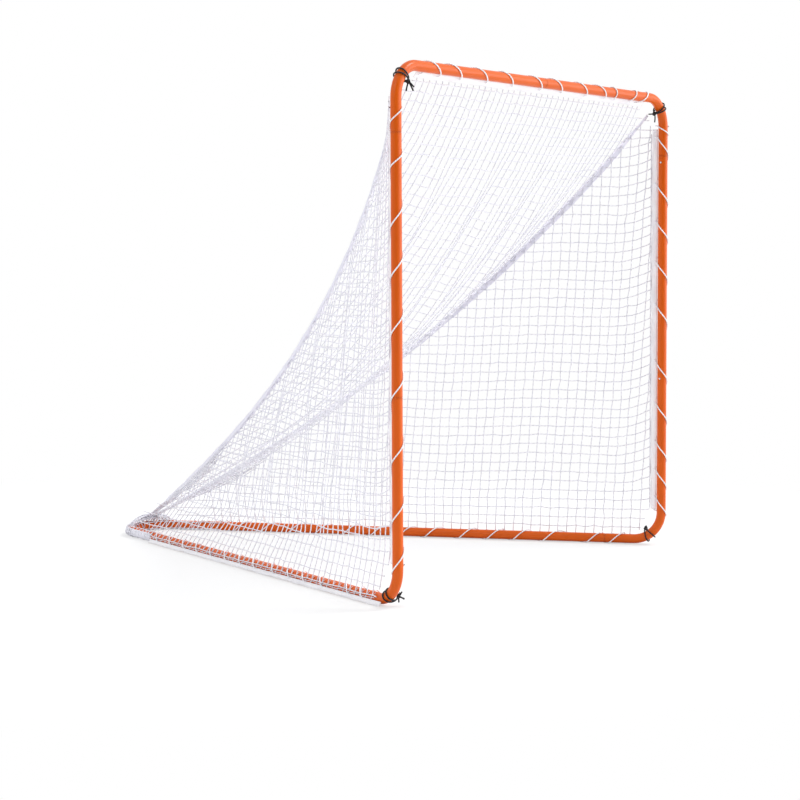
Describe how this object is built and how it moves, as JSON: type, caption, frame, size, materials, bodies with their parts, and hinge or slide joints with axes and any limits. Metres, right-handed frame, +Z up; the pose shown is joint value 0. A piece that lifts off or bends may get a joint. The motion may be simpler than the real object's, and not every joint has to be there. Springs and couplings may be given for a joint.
{
  "type": "lacrosse goal",
  "caption": "Portable lacrosse goal: a knock-down steel tube frame with an open front and a triangular base, and a white net laced on.",
  "frame": {"origin": "on the ground, midway across the goal and midway between the front of the posts and the rear of the base", "axes": "+Z up; the open mouth faces -Y and the two base rails meet at +Y; +X is to the right of someone who looks into the mouth"},
  "size_m": [1.9158, 2.1429, 1.8735],
  "materials": {
    "powder_coat": "satin orange powder coat",
    "button_steel": "zinc-plated",
    "spring_steel": "plain spring steel",
    "net_twine": "twisted white twine, knotted",
    "tape": "woven white tape",
    "lace_cord": "braided white cord",
    "black_cord": "braided black cord"
  },
  "bodies": {
    "goal": {"top_left_corner_tube": "powder_coat", "top_right_corner_tube": "powder_coat", "left_post_tube": "powder_coat", "right_post_tube": "powder_coat", "bottom_left_corner_tube": "powder_coat", "bottom_right_corner_tube": "powder_coat", "left_front_rail_tube": "powder_coat", "right_front_rail_tube": "powder_coat", "left_rear_rail_tube": "powder_coat", "right_rear_rail_tube": "powder_coat", "rear_apex_tube": "powder_coat", "crossbar_button_spring": "spring_steel", "left_upper_button_spring": "spring_steel", "left_lower_button_spring": "spring_steel", "left_front_button_spring": "spring_steel", "left_middle_button_spring": "spring_steel", "left_rear_button_spring": "spring_steel", "right_upper_button_spring": "spring_steel", "right_lower_button_spring": "spring_steel", "right_front_button_spring": "spring_steel", "right_middle_button_spring": "spring_steel", "right_rear_button_spring": "spring_steel", "left_side_net": "net_twine", "right_side_net": "net_twine", "back_net": "net_twine", "rear_net_gather": "net_twine", "left_seam_tape": "tape", "right_seam_tape": "tape", "crossbar_hem": "tape", "left_post_hem": "tape", "right_post_hem": "tape", "left_rail_hem": "tape", "right_rail_hem": "tape", "crossbar_lacing": "lace_cord", "left_post_lacing": "lace_cord", "right_post_lacing": "lace_cord", "left_rail_lacing": "lace_cord", "right_rail_lacing": "lace_cord", "top_left_tie": "black_cord", "top_right_tie": "black_cord", "bottom_left_tie": "black_cord", "bottom_right_tie": "black_cord"},
    "crossbar_button": {"crossbar_snap_button": "button_steel"},
    "left_upper_button": {"left_upper_snap_button": "button_steel"},
    "left_lower_button": {"left_lower_snap_button": "button_steel"},
    "left_front_button": {"left_front_snap_button": "button_steel"},
    "left_middle_button": {"left_middle_snap_button": "button_steel"},
    "left_rear_button": {"left_rear_snap_button": "button_steel"},
    "right_upper_button": {"right_upper_snap_button": "button_steel"},
    "right_lower_button": {"right_lower_snap_button": "button_steel"},
    "right_front_button": {"right_front_snap_button": "button_steel"},
    "right_middle_button": {"right_middle_snap_button": "button_steel"},
    "right_rear_button": {"right_rear_snap_button": "button_steel"}
  },
  "joints": [
    {"name": "crossbar_button_press", "type": "slide", "parent": "goal", "child": "crossbar_button", "axis": [0, 0, 1], "range_m": [0, 0.005], "stiffness_N_per_m": 3000, "springref_m": -0.002, "deforming": ["crossbar_button_spring"]},
    {"name": "left_upper_button_press", "type": "slide", "parent": "goal", "child": "left_upper_button", "axis": [-1, 0, 0], "range_m": [0, 0.005], "stiffness_N_per_m": 3000, "springref_m": -0.002, "deforming": ["left_upper_button_spring"]},
    {"name": "left_lower_button_press", "type": "slide", "parent": "goal", "child": "left_lower_button", "axis": [-1, 0, 0], "range_m": [0, 0.005], "stiffness_N_per_m": 3000, "springref_m": -0.002, "deforming": ["left_lower_button_spring"]},
    {"name": "left_front_button_press", "type": "slide", "parent": "goal", "child": "left_front_button", "axis": [0, 0, -1], "range_m": [0, 0.005], "stiffness_N_per_m": 3000, "springref_m": -0.002, "deforming": ["left_front_button_spring"]},
    {"name": "left_middle_button_press", "type": "slide", "parent": "goal", "child": "left_middle_button", "axis": [0, 0, -1], "range_m": [0, 0.005], "stiffness_N_per_m": 3000, "springref_m": -0.002, "deforming": ["left_middle_button_spring"]},
    {"name": "left_rear_button_press", "type": "slide", "parent": "goal", "child": "left_rear_button", "axis": [0, 0, -1], "range_m": [0, 0.005], "stiffness_N_per_m": 3000, "springref_m": -0.002, "deforming": ["left_rear_button_spring"]},
    {"name": "right_upper_button_press", "type": "slide", "parent": "goal", "child": "right_upper_button", "axis": [1, 0, 0], "range_m": [0, 0.005], "stiffness_N_per_m": 3000, "springref_m": -0.002, "deforming": ["right_upper_button_spring"]},
    {"name": "right_lower_button_press", "type": "slide", "parent": "goal", "child": "right_lower_button", "axis": [1, 0, 0], "range_m": [0, 0.005], "stiffness_N_per_m": 3000, "springref_m": -0.002, "deforming": ["right_lower_button_spring"]},
    {"name": "right_front_button_press", "type": "slide", "parent": "goal", "child": "right_front_button", "axis": [0, 0, -1], "range_m": [0, 0.005], "stiffness_N_per_m": 3000, "springref_m": -0.002, "deforming": ["right_front_button_spring"]},
    {"name": "right_middle_button_press", "type": "slide", "parent": "goal", "child": "right_middle_button", "axis": [0, 0, -1], "range_m": [0, 0.005], "stiffness_N_per_m": 3000, "springref_m": -0.002, "deforming": ["right_middle_button_spring"]},
    {"name": "right_rear_button_press", "type": "slide", "parent": "goal", "child": "right_rear_button", "axis": [0, 0, -1], "range_m": [0, 0.005], "stiffness_N_per_m": 3000, "springref_m": -0.002, "deforming": ["right_rear_button_spring"]}
  ]
}
